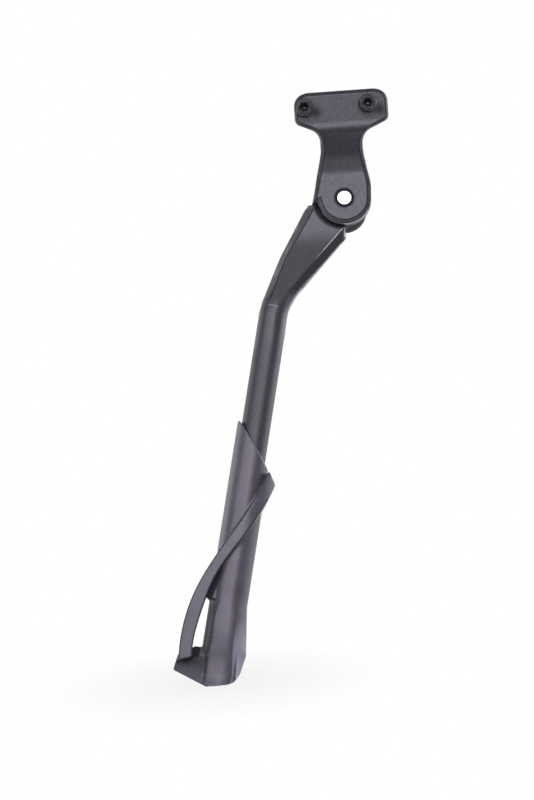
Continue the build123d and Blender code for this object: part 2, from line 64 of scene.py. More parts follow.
# Mounting bracket: one alloy forging that bolts to the lug on the left rear stay.
# It is cranked back below the plate and splayed out to the pivot eye, then tumbled,
# so its edges are soft, and sprayed with satin black paint that shows the forging's skin.
MM = 0.001
PIVOT_PLACE = Vector(frame["joints"][0]["pos_m"])
PIVOT_AXIS = Vector(frame["joints"][0]["axis"])
SIDEWAYS = Vector((1, 0, 0))
PIVOT_UP = PIVOT_AXIS.cross(SIDEWAYS)
PIVOT_FRAME = Matrix((SIDEWAYS, PIVOT_UP, PIVOT_AXIS)).transposed().to_4x4()
PIVOT_FRAME.translation = PIVOT_PLACE
TO_PIVOT = PIVOT_FRAME.inverted()
BRACKET_VOXEL = 0.42 * MM
BRACKET_SOFTENING = 5
BRACKET_OUT = Vector((0, -1, 0))
BRACKET_RIM = 0.95 * MM
BRACKET_CREASE = 0.75 * MM
BEVEL_LOOKS_OUT = 0.48
BEVEL_SPREAD = 0.9 * MM
CREST = (1.1 * MM, -10.0 * MM, -16.5 * MM, -22.0 * MM)
FILLET = (1.2 * MM, -26.5 * MM, -36.5 * MM, -46.5 * MM)
SPREAD_TOP = -16 * MM
SPREAD_FULL = -30 * MM
COUNTERSINK_REACH = 8.0 * MM
HIGHLIGHT_BELOW_PIN = 9.0 * MM
EDGE_ANGLE = radians(24)
SLIVER = 0.1 * MM
WELD = 0.001 * MM
POINTS_PER_REACH = 3
SMOOTHING = 0.5
PAINT_DEEP = (0.026, 0.023, 0.031, 1)
PAINT_LIGHT = (0.056, 0.050, 0.065, 1)
# Pale colour for nicks through the paint, and for the painted highlight along the rim
PAINT_HIGHLIGHT_AND_NICK = (0.50, 0.48, 0.55, 1)
# Near-black for the paint's pits, and for painted shade in creases and darkened patches
PAINT_PITS_AND_SHADE = (0.006, 0.006, 0.007, 1)
BRACKET_SPECKLING = 0.7
SHEEN_TINT = (0.91, 0.86, 1.0, 1)
SHEEN_LEVEL = 0.8
PAINT_ROUGHNESS = 0.43
BARE_METALLIC = 0.8
MOTTLE_SIZE = 2.6 * MM
PIT_SIZE = 0.6 * MM
PIT_DEPTH = 0.14 * MM
# A painted shadow on the plate's front beside each bolt, at these places
BOLT_SHADOW_PLACES = (Vector((-12.8, 0, -3.4)) * MM, Vector((27.6, 0, -4.2)) * MM)
BOLT_SHADOW_REACH = 6.0 * MM
BOLT_SHADOW_DARKNESS = 0.75


class Shade:
    """A socket in a node tree. Arithmetic on it adds Math nodes, node() adds any other."""

    def __init__(self, tree, output=None):
        self.tree = tree
        self.output = output

    def node(self, kind, settings=(), sockets=(), output=0):
        made = self.tree.nodes.new(kind)
        for name, value in dict(settings).items():
            if name == "stops":
                self.set_stops(made.color_ramp, value)
            else:
                setattr(made, name, value)
        for key, value in dict(sockets).items():
            self.feed(made.inputs[key], value)
        return Shade(self.tree, made.outputs[output])

    def set_stops(self, ramp, stops):
        while len(ramp.elements) < len(stops):
            ramp.elements.new(1.0)
        for element, (place, level) in zip(ramp.elements, stops):
            element.position = place
            element.color = (level, level, level, 1)

    def feed(self, socket, value):
        if isinstance(value, Shade):
            self.tree.links.new(value.output, socket)
        else:
            socket.default_value = value

    def maths(self, operation, *values):
        return self.node("ShaderNodeMath", {"operation": operation}, enumerate(values))

    def ramp(self, *stops):
        return self.node("ShaderNodeValToRGB", {"stops": stops}, {0: self})

    def rise(self, low, high, most=1.0):
        """From 0 where this value is low to the most where it is high."""
        return self.ramp((low, 0.0), (high, most))

    def blend(self, colour, other):
        """From one colour to another as this value goes from 0 to 1."""
        sockets = {0: self, 6: colour, 7: other}
        return self.node("ShaderNodeMix", {"data_type": "RGBA"}, sockets, 2)

    def __add__(self, other):
        return self.maths("ADD", self, other)

    def __radd__(self, other):
        return self.maths("ADD", other, self)

    def __sub__(self, other):
        return self.maths("SUBTRACT", self, other)

    def __rsub__(self, other):
        return self.maths("SUBTRACT", other, self)

    def __mul__(self, other):
        return self.maths("MULTIPLY", self, other)

    def __rmul__(self, other):
        return self.maths("MULTIPLY", other, self)


def new_finish(name, **fixed):
    """A material with these fixed values, its shader's sockets and a Shade to start from."""
    material = bpy.data.materials.new(name)
    material.use_nodes = True
    sockets = material.node_tree.nodes["Principled BSDF"].inputs
    for socket, value in fixed.items():
        sockets[socket.replace("_", " ")].default_value = value
    return material, sockets, Shade(material.node_tree)


def place_on_piece(start):
    return start.node("ShaderNodeTexCoord", output="Object")


def noise(place, size, detail=3.0, roughness=0.6):
    """Noise whose lumps are about this size, in metres."""
    sockets = {"Vector": place, "Scale": 1 / size, "Detail": detail, "Roughness": roughness}
    return place.node("ShaderNodeTexNoise", sockets=sockets)


def bump(height, depth, strength=1.0):
    sockets = {"Height": height, "Distance": depth, "Strength": strength}
    return height.node("ShaderNodeBump", sockets=sockets)


def mark(start, name):
    """A mark that was written on a piece's mesh, from 0 to 1."""
    return start.node("ShaderNodeAttribute", {"attribute_name": name}, output="Fac")


def frayed(level, ragged, gain, loss, full, most=1.0):
    """A mark with a ragged edge, which has its most where the gain less the loss is full."""
    return (level * gain - ragged * loss).rise(0.0, full, most)


def satin_paint(name, light, speckling):
    """Black paint on a forging: mottled and pitted, with a painted highlight at the rim, pale nicks and painted
    shade in creases.
    """
    material, sockets, start = new_finish(
        name, Specular_Tint=SHEEN_TINT, Specular_IOR_Level=SHEEN_LEVEL
    )
    place = place_on_piece(start)
    mottle = noise(place, MOTTLE_SIZE, detail=4.0, roughness=0.62)
    pits = noise(place, PIT_SIZE, detail=2.0, roughness=0.5)
    ragged = mottle * 0.5 + pits * 0.5
    # The rim mark is a painted highlight: pale, partly metallic colour along the edge. Nicks are chips through the
    # paint.
    rim_highlight = frayed(mark(start, "rim"), ragged, gain=1.6, loss=0.9, full=0.5)
    nick = frayed(mark(start, "nick"), ragged, gain=1.4, loss=0.9, full=0.7, most=0.35)
    # Creases get painted shade: near-black and rough.
    crease = frayed(mark(start, "crease"), ragged, gain=1.7, loss=1.1, full=0.4)
    specks = pits.rise(0.60, 0.67, speckling)
    coat = mottle.rise(0.2, 0.82)
    # Pits are the paint's own; creases, the bolts' painted shadows and the darkened patches share their near-black
    # colour.
    dark = start.maths("MAXIMUM", start.maths("MAXIMUM", specks, crease), mark(start, "dull"))
    bare = start.maths("MAXIMUM", rim_highlight, nick)
    colour = bare.blend(dark.blend(coat.blend(PAINT_DEEP, light), PAINT_PITS_AND_SHADE), PAINT_HIGHLIGHT_AND_NICK)
    height = mottle * 0.6 + pits * 0.4 - specks * 0.3
    start.feed(sockets["Base Color"], colour)
    start.feed(sockets["Metallic"], bare * BARE_METALLIC)
    start.feed(sockets["Roughness"], PAINT_ROUGHNESS - mottle * 0.12 + dark * 0.5)
    start.feed(sockets["Normal"], bump(height, PIT_DEPTH, strength=0.6))
    return material


def merged_copy(node):
    """A CAD piece's mesh with its loose triangles joined."""
    joined = bmesh.new()
    joined.from_mesh(frame["nodes"][node].data)
    bmesh.ops.remove_doubles(joined, verts=joined.verts, dist=WELD)
    joined.normal_update()
    return joined


def new_mesh(name, joined):
    mesh = bpy.data.meshes.new(name)
    joined.to_mesh(mesh)
    joined.free()
    return mesh


def put_in_scene(name, mesh):
    piece = bpy.data.objects.new(name, mesh)
    bpy.context.scene.collection.objects.link(piece)
    return piece


def plain_mesh(piece):
    """Turns what a piece's modifiers make into its own mesh and takes the modifiers off."""
    evaluated = piece.evaluated_get(bpy.context.evaluated_depsgraph_get())
    made = bpy.data.meshes.new_from_object(evaluated)
    piece.modifiers.clear()
    piece.data = made
    return made


def narrow(face):
    return face.calc_area() < SLIVER * max(edge.calc_length() for edge in face.edges)


def sharp(edge):
    """An outer edge between two faces that have some width."""
    bent = edge.calc_face_angle_signed() > EDGE_ANGLE
    return bent and not any(narrow(face) for face in edge.link_faces)


def looks_out(edge, outward):
    """How much the edge's two faces look outwards, from the one that does so less."""
    return min(face.normal.dot(outward) for face in edge.link_faces)


def edge_points(joined, wanted, step):
    """Points along those edges of a CAD piece that are wanted, and the way each corner points."""
    points = []
    for edge in joined.edges:
        if len(edge.link_faces) == 2 and wanted(edge):
            start, end = (vert.co for vert in edge.verts)
            outward = sum((face.normal for face in edge.link_faces), Vector()).normalized()
            count = max(1, int((end - start).length / step))
            points += [(start.lerp(end, index / count), outward) for index in range(count + 1)]
    return points


def write_mark(skin, name, values):
    skin.attributes.new(name, "FLOAT", "POINT").data.foreach_set("value", values)


def nearest(points):
    """A search for the nearest of these points."""
    tree = KDTree(len(points))
    for index, (point, outward) in enumerate(points):
        tree.insert(point, index)
    tree.balance()
    return tree


def nearness(tree, vert, reach):
    point, index, distance = tree.find(vert.co)
    return max(0.0, 1 - distance / reach)


def mark_near(skin, name, points, reach):
    """Marks a skin by how near it is to these points, from 1 on one of them to 0 at the reach."""
    tree = nearest(points)
    write_mark(skin, name, [nearness(tree, vert, reach) for vert in skin.vertices])


def soft_skin(node, joined, voxel, softening, **marks):
    """A CAD piece's joined mesh as one skin with rounded edges, with marks along its edges."""
    lines = {name: (edge_points(joined, wanted, reach / POINTS_PER_REACH), reach)
             for name, (wanted, reach) in marks.items()}
    piece = put_in_scene(node + "_skin", new_mesh(node + "_skin", joined))
    skin = piece.modifiers.new("skin", "REMESH")
    skin.mode = "VOXEL"
    skin.voxel_size = voxel
    soften = piece.modifiers.new("soften", "SMOOTH")
    soften.factor = SMOOTHING
    soften.iterations = softening
    mesh = plain_mesh(piece)
    mesh.shade_smooth()
    for name, (points, reach) in lines.items():
        mark_near(mesh, name, points, reach)
    return piece


def dress(piece, material, body, slot, *nodes):
    """Gives a piece its finish and the body it moves with, and hides the CAD nodes it stands for."""
    piece.data.materials.clear()
    piece.data.materials.append(material)
    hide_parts(*nodes)
    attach(piece, body)


def share(value, start, end):
    """How far a value has gone from start to end, eased, from 0 to 1."""
    gone = min(max((value - start) / (end - start), 0), 1)
    return gone * gone * (3 - 2 * gone)


def round_the_pin(edge):
    return (TO_PIVOT @ edge.verts[0].co).xy.length < COUNTERSINK_REACH


def bracket_rim(edge):
    """The bevel's outer edge below the pin, which gets a painted highlight."""
    below = edge.verts[0].co.z < PIVOT_PLACE.z - HIGHLIGHT_BELOW_PIN
    return below and sharp(edge) and looks_out(edge, BRACKET_OUT) < BEVEL_LOOKS_OUT


def bracket_crease(edge):
    """The bevel's inner edge, which gets painted shade."""
    inner = looks_out(edge, BRACKET_OUT) > BEVEL_LOOKS_OUT and not round_the_pin(edge)
    return inner and sharp(edge)


def spread_bevel(edges):
    """Draws the bevel's inner edge in on the neck and the eye, where the bevel is broader."""
    inward = {}
    for edge in edges:
        bevel, flat = sorted(edge.link_faces, key=lambda face: face.normal.dot(BRACKET_OUT))
        along = flat.normal * bevel.normal.dot(flat.normal) - bevel.normal
        for vert in edge.verts:
            inward[vert] = inward.get(vert, Vector()) + along.normalized()
    for vert, way in inward.items():
        vert.co += way.normalized() * BEVEL_SPREAD * share(vert.co.z, SPREAD_TOP, SPREAD_FULL)


def ease_crank(skin):
    """Raises the crank's crest below the plate and fills its hollow above the eye."""
    for vert in skin.vertices:
        for height, top, middle, bottom in (CREST, FILLET):
            end = top if vert.co.z > middle else bottom
            vert.co += BRACKET_OUT * height * share(vert.co.z, end, middle)


def painted_bolt_shadows(skin):
    """How dark the painted shadow beside each bolt is at each point of the plate's front."""
    levels = []
    for vert in skin.vertices:
        away = min((vert.co - place).xz.length for place in BOLT_SHADOW_PLACES)
        front = vert.normal.dot(BRACKET_OUT) > BEVEL_LOOKS_OUT
        levels.append(BOLT_SHADOW_DARKNESS * share(away, BOLT_SHADOW_REACH, 0) * front)
    return levels


bracket_cad = merged_copy("mounting_bracket")
inner_edges = {edge for edge in bracket_cad.edges if bracket_crease(edge)}
spread_bevel(inner_edges)
bracket = soft_skin(
    "mounting_bracket", bracket_cad, BRACKET_VOXEL, BRACKET_SOFTENING,
    rim=(bracket_rim, BRACKET_RIM), crease=(inner_edges.__contains__, BRACKET_CREASE),
)
# The bolts' painted shadows go into the darkening mark.
write_mark(bracket.data, "dull", painted_bolt_shadows(bracket.data))
ease_crank(bracket.data)
bracket_paint = satin_paint("bracket_paint", PAINT_LIGHT, BRACKET_SPECKLING)
dress(bracket, bracket_paint, "bracket", "black_alloy", "mounting_bracket")

# Frame bolts: two M6 socket cap screws of blackened steel with a rolled thread, and the
# spring lock washers under their heads. The thread stands out of the back of the plate.
THREAD_PITCH = 1.0 * MM
THREAD_DEPTH = 0.45 * MM
THREAD_STEPS = 24
THREAD_SIDES = 4
RIDGE_R = 0.55
SOCKET_R = 3.0 * MM
SOCKET_LEAST_DEPTH = 1.0 * MM
DRILL_POINT = 0.7 * MM
WALL_MARK = 0.4
BARE_FACET = Vector((0, 0, 1))
FACES_UP = 0.1
HEAD_BEVEL_LEAST = 0.3
HEAD_BEVEL_MOST = 0.9
SMOOTH_ANGLE = radians(30)
BLACK_STEEL = (0.014, 0.013, 0.016, 1)
BLACK_STEEL_WORN = (0.22, 0.215, 0.235, 1)
BARE_STEEL = (0.55, 0.55, 0.57, 1)
SOCKET_SHADE_BLACK = (0.004, 0.004, 0.005, 1)
GRIT_SIZE = 0.55 * MM
OXIDE_CLOUD = 2.0 * MM
OXIDE_DEPTH = 0.06 * MM
OXIDE_METALLIC = 0.1
OXIDE_ROUGHNESS = 0.36
BARE_ROUGHNESS = 0.2


def black_oxide():
    """Blackened steel, with pale specks where it has worn off, mostly on the head's bevel, and painted shade
    inside the socket.
    """
    material, sockets, start = new_finish("black_oxide", Specular_Tint=SHEEN_TINT)
    place = place_on_piece(start)
    grit = noise(place, GRIT_SIZE, detail=2.0)
    specks = (grit + mark(start, "rim") * 0.11).rise(0.6, 0.7)
    cloud = noise(place, OXIDE_CLOUD)
    socket = mark(start, "socket")
    inside = socket.rise(0.1, 0.3)
    bare = socket.rise(0.6, 0.9)
    # Inside the socket the steel is painted near-black as shade; the facets facing up stay bare steel and catch a
    # glint.
    skin = inside.blend(specks.blend(BLACK_STEEL, BLACK_STEEL_WORN), SOCKET_SHADE_BLACK)
    start.feed(sockets["Base Color"], bare.blend(skin, BARE_STEEL))
    worn = OXIDE_METALLIC + specks * 0.6
    start.feed(sockets["Metallic"], worn * (1 - inside) + bare)
    dulled = OXIDE_ROUGHNESS + cloud * 0.2
    start.feed(sockets["Roughness"], dulled * (1 - bare) + bare * BARE_ROUGHNESS)
    start.feed(sockets["Normal"], bump(cloud + specks * 0.4, OXIDE_DEPTH, strength=0.6))
    return material


def geometry_tree(name, sizes):
    """A Geometry Nodes tree with a number input for each named size, and those inputs by name."""
    tree = bpy.data.node_groups.new(name, "GeometryNodeTree")
    tree.interface.new_socket("Geometry", in_out="INPUT", socket_type="NodeSocketGeometry")
    for size in sizes:
        tree.interface.new_socket(size, in_out="INPUT", socket_type="NodeSocketFloat")
    tree.interface.new_socket("Geometry", in_out="OUTPUT", socket_type="NodeSocketGeometry")
    given = tree.nodes.new("NodeGroupInput")
    return tree, {size: Shade(tree, given.outputs[size]) for size in ("Geometry", *sizes)}


def end_tree(geometry, material):
    """Realises a tree's geometry, gives it its finish and sends it out."""
    whole = geometry.node("GeometryNodeRealizeInstances", sockets={0: geometry})
    finish = {"Geometry": whole, "Material": material}
    coated = whole.node("GeometryNodeSetMaterial", sockets=finish)
    out = coated.tree.nodes.new("NodeGroupOutput")
    coated.feed(out.inputs[0], coated)


def run_tree(piece, tree, sizes):
    """Runs a tree on a piece with these sizes, and leaves a plain mesh."""
    modifier = piece.modifiers.new(tree.name, "NODES")
    modifier.node_group = tree
    for item in tree.interface.items_tree:
        if item.in_out == "INPUT" and item.name in sizes:
            modifier[item.identifier] = sizes[item.name]
    return plain_mesh(piece)


def coil_curve(start, steps, radius, turns, length):
    """A spiral of constant radius up from z 0."""
    sockets = {"Resolution": steps, "Rotations": turns, "Start Radius": radius,
               "End Radius": radius, "Height": length}
    return start.node("GeometryNodeCurveSpiral", sockets=sockets)


def swept(start, line, sides, radius):
    """A bar of that many sides and that radius along a line."""
    sockets = {"Resolution": sides, "Radius": radius}
    section = start.node("GeometryNodeCurvePrimitiveCircle", {"mode": "RADIUS"}, sockets)
    return start.node("GeometryNodeCurveToMesh", sockets={0: line, 1: section, "Fill Caps": True})


def thread_tree(material):
    """A ridge of four-sided section wound round a bolt, from z 0 up."""
    tree, given = geometry_tree("rolled_thread", ("Core radius", "Depth", "Pitch", "Length"))
    start = Shade(tree)
    turns = start.maths("DIVIDE", given["Length"], given["Pitch"])
    radius = given["Core radius"] + given["Depth"] * 0.5
    helix = coil_curve(start, THREAD_STEPS, radius, turns, given["Length"])
    end_tree(swept(start, helix, THREAD_SIDES, given["Depth"] * RIDGE_R), material)
    return tree


def span(node, direction):
    """How far a CAD piece reaches along a direction, lowest and highest, in metres."""
    reach = [vert.co.dot(direction) for vert in frame["nodes"][node].data.vertices]
    return min(reach), max(reach)


def middle_of(node):
    low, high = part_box(node)
    return (low + high) / 2


def mark_head(joined, axis, top):
    """Drills the socket's floor to a point, and marks the socket for painted shade, its bare facets and the bevel.
    """
    def in_socket(face):
        return all((vert.co - axis).xz.length < SOCKET_R and vert.co.y < 0 for vert in face.verts)

    socket = joined.faces.layers.float.new("socket")
    rim = joined.faces.layers.float.new("rim")
    floor = []
    for face in joined.faces:
        outward = face.normal.dot(BRACKET_OUT)
        place = face.calc_center_median()
        face[socket] = WALL_MARK * in_socket(face)
        face[rim] = HEAD_BEVEL_LEAST < outward < HEAD_BEVEL_MOST and place.y < 0
        if in_socket(face) and outward > HEAD_BEVEL_MOST and place.y > top + SOCKET_LEAST_DEPTH:
            floor.append(face)
    floor = bmesh.ops.dissolve_faces(joined, faces=floor)["region"]
    point = bmesh.ops.poke(joined, faces=floor, offset=-DRILL_POINT)["faces"]
    joined.normal_update()
    for face in point:
        if face.normal.dot(BARE_FACET) > FACES_UP:
            face[socket] = 1.0


def threaded_bolt(node, tree):
    """The CAD bolt with its socket drilled, its shank turned down and its thread wound on."""
    top, tip = span(node, Vector((0, 1, 0)))
    axis = middle_of(node) * Vector((1, 0, 1))
    joined = merged_copy(node)
    behind = [vert for vert in joined.verts if vert.co.y > 0]
    crest = max((vert.co - axis).xz.length for vert in behind)
    core = crest - THREAD_DEPTH
    for vert in behind:
        vert.co.xz = axis.xz + (vert.co - axis).xz * (core / crest)
    ridge = put_in_scene(node + "_ridge", bpy.data.meshes.new(node + "_ridge"))
    sizes = {"Core radius": core, "Depth": THREAD_DEPTH, "Pitch": THREAD_PITCH,
             "Length": tip - 2 * THREAD_PITCH}
    run_tree(ridge, tree, sizes)
    from_plate = Matrix.Translation(axis + Vector((0, THREAD_PITCH / 2, 0)))
    ridge.data.transform(from_plate @ Matrix.Rotation(-pi / 2, 4, "X"))
    joined.from_mesh(ridge.data)
    bpy.data.objects.remove(ridge)
    mark_head(joined, axis, top)
    bolt = put_in_scene(node + "_threaded", new_mesh(node + "_threaded", joined))
    bolt.data.shade_smooth()
    bolt.data.set_sharp_from_angle(angle=SMOOTH_ANGLE)
    return bolt


def paint_nodes(material, *nodes):
    """Gives CAD nodes that stay in sight their finish."""
    for node in nodes:
        frame["nodes"][node].data.materials.clear()
        frame["nodes"][node].data.materials.append(material)


bolt_black = black_oxide()
rolled_thread = thread_tree(bolt_black)
for node in ("front_bolt", "rear_bolt"):
    dress(threaded_bolt(node, rolled_thread), bolt_black, "bracket", "black_steel", node)
paint_nodes(bolt_black, "front_lock_washer", "rear_lock_washer")

# Pivot: a steel pin pressed through the eye, its end rounded and bright in its countersink, with
# a steel thrust washer, a washer under the head at the back and a bronze bush in the leg.
TURNING_PITCH = 0.35 * MM
TURNING_DEPTH = 0.02 * MM
SMEAR_SIZE = 1.6 * MM
STEEL_LIGHT = (0.88, 0.88, 0.90, 1)
STEEL_DARK = (0.76, 0.76, 0.79, 1)
STEEL_ROUGHNESS = 0.24
BRONZE_LIGHT = (0.56, 0.38, 0.17, 1)
BRONZE_DARK = (0.40, 0.26, 0.11, 1)
BRONZE_ROUGHNESS = 0.34
PIN_ROUNDING = 0.5 * MM
PIN_STEPS = 5


def turned_metal(name, light, dark, roughness, centre):
    """Bare metal with the fine rings that facing and rubbing leave round its middle."""
    material, sockets, start = new_finish(name, Metallic=1.0)
    place = place_on_piece(start)
    turn = TO_PIVOT.to_3x3()
    shift = {"Vector": place, "Location": -(turn @ centre), "Rotation": turn.to_euler()}
    centred = start.node("ShaderNodeMapping", sockets=shift)
    across = {0: centred, 1: (1, 1, 0)}
    flat = start.node("ShaderNodeVectorMath", {"operation": "MULTIPLY"}, across)
    radius = start.node("ShaderNodeVectorMath", {"operation": "LENGTH"}, {0: flat}, "Value")
    rings = start.maths("SINE", radius * (2 * pi / TURNING_PITCH))
    smear = noise(place, SMEAR_SIZE)
    tone = smear.rise(0.3, 0.7)
    start.feed(sockets["Base Color"], tone.blend(dark, light))
    start.feed(sockets["Roughness"], roughness + smear * 0.16)
    start.feed(sockets["Normal"], bump(rings * 0.3 + smear, TURNING_DEPTH, strength=0.5))
    return material


def rounded_pin(node):
    """The CAD pin with its outer end rounded over."""
    joined = merged_copy(node)
    end = max((TO_PIVOT @ vert.co).z for vert in joined.verts)
    rim = [edge for edge in joined.edges if edge.calc_face_angle() > EDGE_ANGLE
           and all((TO_PIVOT @ vert.co).z > end - SLIVER for vert in edge.verts)]
    bmesh.ops.bevel(
        joined, geom=rim, offset=PIN_ROUNDING, segments=PIN_STEPS, profile=0.5, affect="EDGES"
    )
    pin = put_in_scene(node + "_rounded", new_mesh(node + "_rounded", joined))
    pin.data.shade_smooth()
    pin.data.set_sharp_from_angle(angle=SMOOTH_ANGLE)
    return pin


bright_steel = turned_metal(
    "bright_steel", STEEL_LIGHT, STEEL_DARK, STEEL_ROUGHNESS, PIVOT_PLACE
)
bush_bronze = turned_metal(
    "bush_bronze", BRONZE_LIGHT, BRONZE_DARK, BRONZE_ROUGHNESS, PIVOT_PLACE
)
dress(rounded_pin("pivot_pin"), bright_steel, "bracket", "bright_steel", "pivot_pin")
paint_nodes(bright_steel, "thrust_washer", "pin_washer")
paint_nodes(bush_bronze, "pivot_bush")

# Leg: one alloy forging. Its six-sided shank turns into a round leg at the knee, and the disc
# at its top turns on the pivot pin. It is painted like the bracket, with a few nicks on its front.
LEG_VOXEL = 0.56 * MM
LEG_SOFTENING = 4
LEG_RIM = 0.8 * MM
LEG_RIM_LOWEST = -48 * MM
LEG_CREASE = 0.9 * MM
LEG_PAINT_LIGHT = (0.048, 0.043, 0.056, 1)
LEG_SPECKLING = 0.3
LEG_BEVEL_LOOKS_OUT = 0.3
END_LOOKS_SIDEWAYS = 0.9
END_LOOKS_OUT = -0.0001
SIDE_ROUNDING = 3.2 * MM
SIDE_TAKEN = 0.9 * MM
# Darker, rougher paint on the leg: painted shade on the disc and the right bevel, plain darkening on the front's
# middle and the tube
FLAT_DARKENING = 0.5
FLAT_DARK_SPAN = (-18 * MM, -33 * MM, -60 * MM, -72 * MM)
FLAT_LOOKS_OUT = (0.9, 0.97)
BEVEL_SHADE = 0.9
BEVEL_LOOKS_SIDEWAYS = 0.4
BEVEL_FACES_OUT = (0.35, 0.55)
BEVEL_STARTS = (-66 * MM, -56 * MM)
DISC_REACH = 21 * MM
DISC_LOOKS_OUT = 0.5
DISC_SHADE = 0.8
RIM_FADES = (-50 * MM, -28 * MM)
KNEE_SPAN = (-54 * MM, -62 * MM, -76 * MM, -86 * MM)
KNEE_LOOKS_SIDEWAYS = 0.2
KNEE_SOFTENING = 80
TUBE_DARKENING = 0.16
TUBE_STARTS = (-82 * MM, -100 * MM)
SHANK_MIDDLE = -9 * MM
CONTOUR_BAND = 0.6 * MM
CONTOUR_LOOKS_SIDEWAYS = 0.5
CONTOUR_SPAN = (-23 * MM, -29 * MM, -66 * MM, -84 * MM)
CONTOUR_REACH = (2.6 * MM, 6.4 * MM)
CONTOUR_LEVEL = 0.72
NICK_WIDTH = 0.75 * MM
NICK_LEVEL = -12.0 * MM
NICKS = (
    ((-30.6, -14.2), (-32.9, -19.3)),
    ((-37.7, -28.2), (-40.3, -34.0)),
    ((-45.4, -42.2), (-47.9, -47.2)),
    ((-53.0, -66.5), (-50.2, -67.0)),
    ((-50.2, -67.0), (-47.2, -68.2)),
)


def hollow(edge):
    """An inner corner between two faces that have some width."""
    bent = edge.calc_face_angle_signed() < -EDGE_ANGLE
    return bent and not any(narrow(face) for face in edge.link_faces)


def front_corner(edge):
    """An edge between the flat front of the shank and one of its bevels."""
    return sharp(edge) and looks_out(edge, PIVOT_AXIS) > LEG_BEVEL_LOOKS_OUT


def leg_rim(edge):
    """The upper part of the front's right corner, and the shank's end below the eye, which get a painted
    highlight.
    """
    sideways = [face.normal.dot(SIDEWAYS) for face in edge.link_faces]
    upper = (TO_PIVOT @ edge.verts[0].co).y > LEG_RIM_LOWEST
    at_end = max(sideways) > END_LOOKS_SIDEWAYS and looks_out(edge, PIVOT_AXIS) > END_LOOKS_OUT
    return sharp(edge) and at_end or front_corner(edge) and sum(sideways) > 0 and upper


def leg_crease(edge):
    """The front's left corner, and the hollow that the eye turns in, which get painted shade."""
    sideways = [face.normal.dot(SIDEWAYS) for face in edge.link_faces]
    return front_corner(edge) and sum(sideways) < 0 or hollow(edge)


def leg_side(edge):
    """The corner between a bevel and the back of the shank, which the forging die leaves round."""
    outward = [face.normal.dot(PIVOT_AXIS) for face in edge.link_faces]
    return sharp(edge) and min(outward) < LEG_BEVEL_LOOKS_OUT < max(outward)


def round_over(skin, corners, reach, taken):
    """Rounds a skin over along a CAD piece's corners."""
    tree = nearest(corners)
    for vert in skin.vertices:
        point, index, distance = tree.find(vert.co)
        if distance < reach:
            vert.co -= corners[index][1] * taken * (1 - distance / reach) ** 2


def within(value, spread):
    """Eased in between the first two of four values, and out between the last two."""
    top, start, end, bottom = spread
    return share(value, top, start) * share(value, bottom, end)


def darkening_levels(skin):
    """How dark and rough each point of the shank's front and right bevel, the disc and the tube is painted."""
    levels = []
    for vert in skin.vertices:
        place = TO_PIVOT @ vert.co
        outward, sideways = vert.normal.dot(PIVOT_AXIS), vert.normal.dot(SIDEWAYS)
        level = FLAT_DARKENING * share(outward, *FLAT_LOOKS_OUT) * within(place.y, FLAT_DARK_SPAN)
        bevel = BEVEL_SHADE * share(outward, *BEVEL_FACES_OUT) * share(place.y, *BEVEL_STARTS)
        # The disc, in the eye's shadow, and the right bevel get painted shade; the front's middle and the tube are
        # only darker.
        if place.xy.length < DISC_REACH and outward < DISC_LOOKS_OUT:
            level = DISC_SHADE
        elif sideways > BEVEL_LOOKS_SIDEWAYS:
            level = max(level, bevel)
        levels.append(max(level, TUBE_DARKENING * share(place.y, *TUBE_STARTS)))
    return levels


def lighten_contour(skin):
    """Paints a highlight along the shank's right contour as rim, where the rounded bevel would catch light."""
    contour = []
    for vert in skin.vertices:
        level = (TO_PIVOT @ vert.co).z - SHANK_MIDDLE
        if abs(level) < CONTOUR_BAND and vert.normal.dot(SIDEWAYS) > CONTOUR_LOOKS_SIDEWAYS:
            contour.append((vert.co, vert.normal))
    tree = nearest(contour)
    narrowest, widest = CONTOUR_REACH
    for vert, rim in zip(skin.vertices, skin.attributes["rim"].data):
        height = (TO_PIVOT @ vert.co).y
        reach = narrowest + (widest - narrowest) * share(height, *CONTOUR_SPAN[1:3])
        level = CONTOUR_LEVEL * nearness(tree, vert, reach) * within(height, CONTOUR_SPAN)
        rim.value = max(rim.value, level)


def soften_knee(piece):
    """Smooths the right side of the knee, where the shank's bevel runs out into the round leg."""
    group = piece.vertex_groups.new(name="knee")
    for vert in piece.data.vertices:
        right = vert.normal.dot(SIDEWAYS) > KNEE_LOOKS_SIDEWAYS
        weight = within((TO_PIVOT @ vert.co).y, KNEE_SPAN) * right
        if weight:
            group.add([vert.index], weight, "REPLACE")
    soften = piece.modifiers.new("knee", "SMOOTH")
    soften.vertex_group = "knee"
    soften.factor = SMOOTHING
    soften.iterations = KNEE_SOFTENING
    plain_mesh(piece)
    piece.vertex_groups.clear()


def nicks(skin):
    """How near each point of the leg's front is to a nick, from 0 to 1."""
    lines = [[Vector((*end, 0)) * MM for end in nick] for nick in NICKS]
    depths = []
    for vert in skin.vertices:
        place = TO_PIVOT @ vert.co
        front = place.z > NICK_LEVEL
        place.z = 0
        depth = 0.0
        for start, end in lines:
            along = min(max(intersect_point_line(place, start, end)[1], 0), 1)
            distance = (place - start.lerp(end, along)).length
            depth = max(depth, 1 - distance / NICK_WIDTH)
        depths.append(depth * front)
    return depths


leg_cad = merged_copy("leg")
side_corners = edge_points(leg_cad, leg_side, SIDE_ROUNDING / POINTS_PER_REACH)
leg = soft_skin(
    "leg", leg_cad, LEG_VOXEL, LEG_SOFTENING,
    rim=(leg_rim, LEG_RIM), crease=(leg_crease, LEG_CREASE),
)
